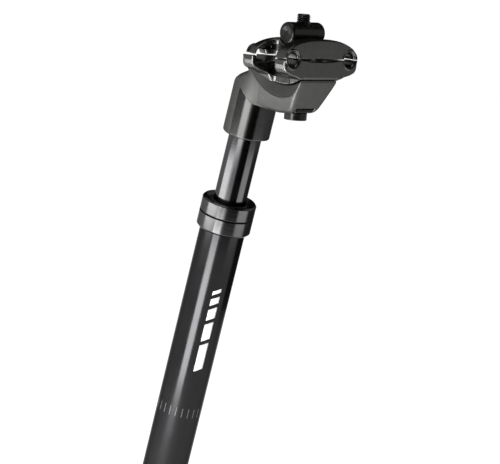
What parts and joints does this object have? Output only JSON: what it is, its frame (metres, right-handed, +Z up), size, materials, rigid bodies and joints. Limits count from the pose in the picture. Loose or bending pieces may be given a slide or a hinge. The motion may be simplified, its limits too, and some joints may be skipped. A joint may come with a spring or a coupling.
{
  "type": "suspension seatpost",
  "caption": "Set-back bicycle seatpost with a spring-loaded sliding shaft, threaded collar and a single-bolt two-piece saddle rail clamp.",
  "frame": {"origin": "on the post's axis at the lower end of the outer tube", "axes": "+Z up along the post towards the saddle, +X to the rear of the bicycle, the way the head is set back, +Y to the bicycle's right"},
  "size_m": [0.0643, 0.0576, 0.3734],
  "materials": {
    "black_anodised": "gloss black anodised",
    "gunmetal": "satin gunmetal forging",
    "polished_grey": "polished dark grey forging",
    "black_oxide": "black oxide",
    "black_rubber": "matte",
    "white_acetal": "semi-matte moulded",
    "bare_alloy": "turned",
    "spring_steel": "oiled steel",
    "urethane": "translucent amber elastomer"
  },
  "bodies": {
    "tube_body": {"outer_tube": "black_anodised", "collar_ring": "black_anodised", "collar_seal": "black_rubber", "collar_cap": "black_anodised", "wiper_seal": "black_rubber", "upper_bushing": "white_acetal", "guide_key": "bare_alloy", "coil_spring": "spring_steel"},
    "shaft_body": {"shaft": "black_anodised", "head": "gunmetal", "shaft_end_plug": "bare_alloy", "retaining_ring": "spring_steel", "lower_bushing": "white_acetal", "top_out_spacer": "bare_alloy", "top_out_bumper": "black_rubber"},
    "lower_clamp_body": {"lower_clamp": "polished_grey", "curved_washer": "black_oxide"},
    "upper_clamp_body": {"upper_clamp": "polished_grey", "barrel_nut": "black_oxide"},
    "bolt_body": {"clamp_bolt": "black_oxide"},
    "spring_seat_body": {"spring_seat": "white_acetal", "elastomer_rod": "urethane"},
    "preload_plug_body": {"preload_plug": "bare_alloy"}
  },
  "joints": [
    {"name": "suspension_travel", "type": "slide", "parent": "tube_body", "child": "shaft_body", "axis": [0, 0, 1], "range_m": [-0.038, 0], "stiffness_N_per_m": 12000, "springref_m": 0.0125, "deforming": ["coil_spring"]},
    {"name": "clamp_tilt", "type": "hinge", "parent": "shaft_body", "child": "lower_clamp_body", "pos_m": [0.02358, 0, 0.36868], "axis": [0, 1, 0], "range_deg": [-3.5, 8.5]},
    {"name": "bolt_turn", "type": "hinge", "parent": "lower_clamp_body", "child": "bolt_body", "pos_m": [0.03519, 0, 0.31841], "axis": [0.225, 0, -0.9744], "range_deg": [0, 1801]},
    {"name": "clamp_open", "type": "slide", "parent": "lower_clamp_body", "child": "upper_clamp_body", "axis": [-0.225, 0, 0.9744], "range_m": [0, 0.00625]},
    {"name": "preload_slide", "type": "slide", "parent": "tube_body", "child": "spring_seat_body", "axis": [0, 0, 1], "range_m": [0, 0.006], "deforming": ["coil_spring"]},
    {"name": "preload_turn", "type": "hinge", "parent": "spring_seat_body", "child": "preload_plug_body", "pos_m": [0, 0, 0.002], "axis": [0, 0, 1], "range_deg": [0, 1441]}
  ],
  "couplings": [
    {"joint": "bolt_turn", "follows": "clamp_open", "rad_per_m": 5026.5},
    {"joint": "preload_turn", "follows": "preload_slide", "rad_per_m": 4188.8}
  ]
}
